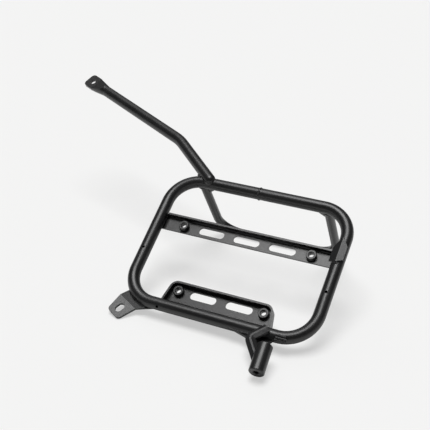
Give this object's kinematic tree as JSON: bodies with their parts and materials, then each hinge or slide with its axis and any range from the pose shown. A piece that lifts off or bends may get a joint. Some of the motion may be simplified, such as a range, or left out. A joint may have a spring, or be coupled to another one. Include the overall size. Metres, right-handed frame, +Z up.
{
  "type": "motorcycle side luggage rack",
  "caption": "Bent tube side rack for motorcycle luggage: closed loop with slotted plates, long arm with flat eye, stand-off hoop, corner tab and threaded boss.",
  "frame": {"origin": "middle of the rack's bounding box in X and Y, on the floor it lies on", "axes": "+X along the loop's top tube, away from the long arm; +Y from the boss towards the long arm's eye; +Z up from the floor. The rack lies on the stand-off hoop's crossbar and the corner tab's end, with the nut side up and the loop's plane raised 30.3 degrees at the hoop"},
  "size_m": [0.4904, 0.3776, 0.1777],
  "materials": {
    "tube": "black powder coat, satin, slight orange peel",
    "sheet": "black powder coat, satin",
    "weld_bead": "black powder coat over a rippled weld bead",
    "weld_nut": "black powder coat, bore rubbed to bare steel"
  },
  "bodies": {
    "root": {"loop_tube": "tube", "loop_butt_weld": "weld_bead", "upper_arm": "tube", "arm_weld": "weld_bead", "standoff_hoop": "tube", "hoop_webs": "sheet", "hoop_welds": "weld_bead", "upper_plate": "sheet", "upper_plate_nuts": "weld_nut", "upper_plate_welds": "weld_bead", "lower_plate": "sheet", "lower_plate_nuts": "weld_nut", "lower_plate_welds": "weld_bead", "corner_tab": "sheet", "corner_tab_weld": "weld_bead", "boss": "tube", "boss_bar": "sheet", "boss_stay": "sheet", "boss_welds": "weld_bead", "side_strap": "sheet", "side_strap_welds": "weld_bead"}
  },
  "joints": []
}
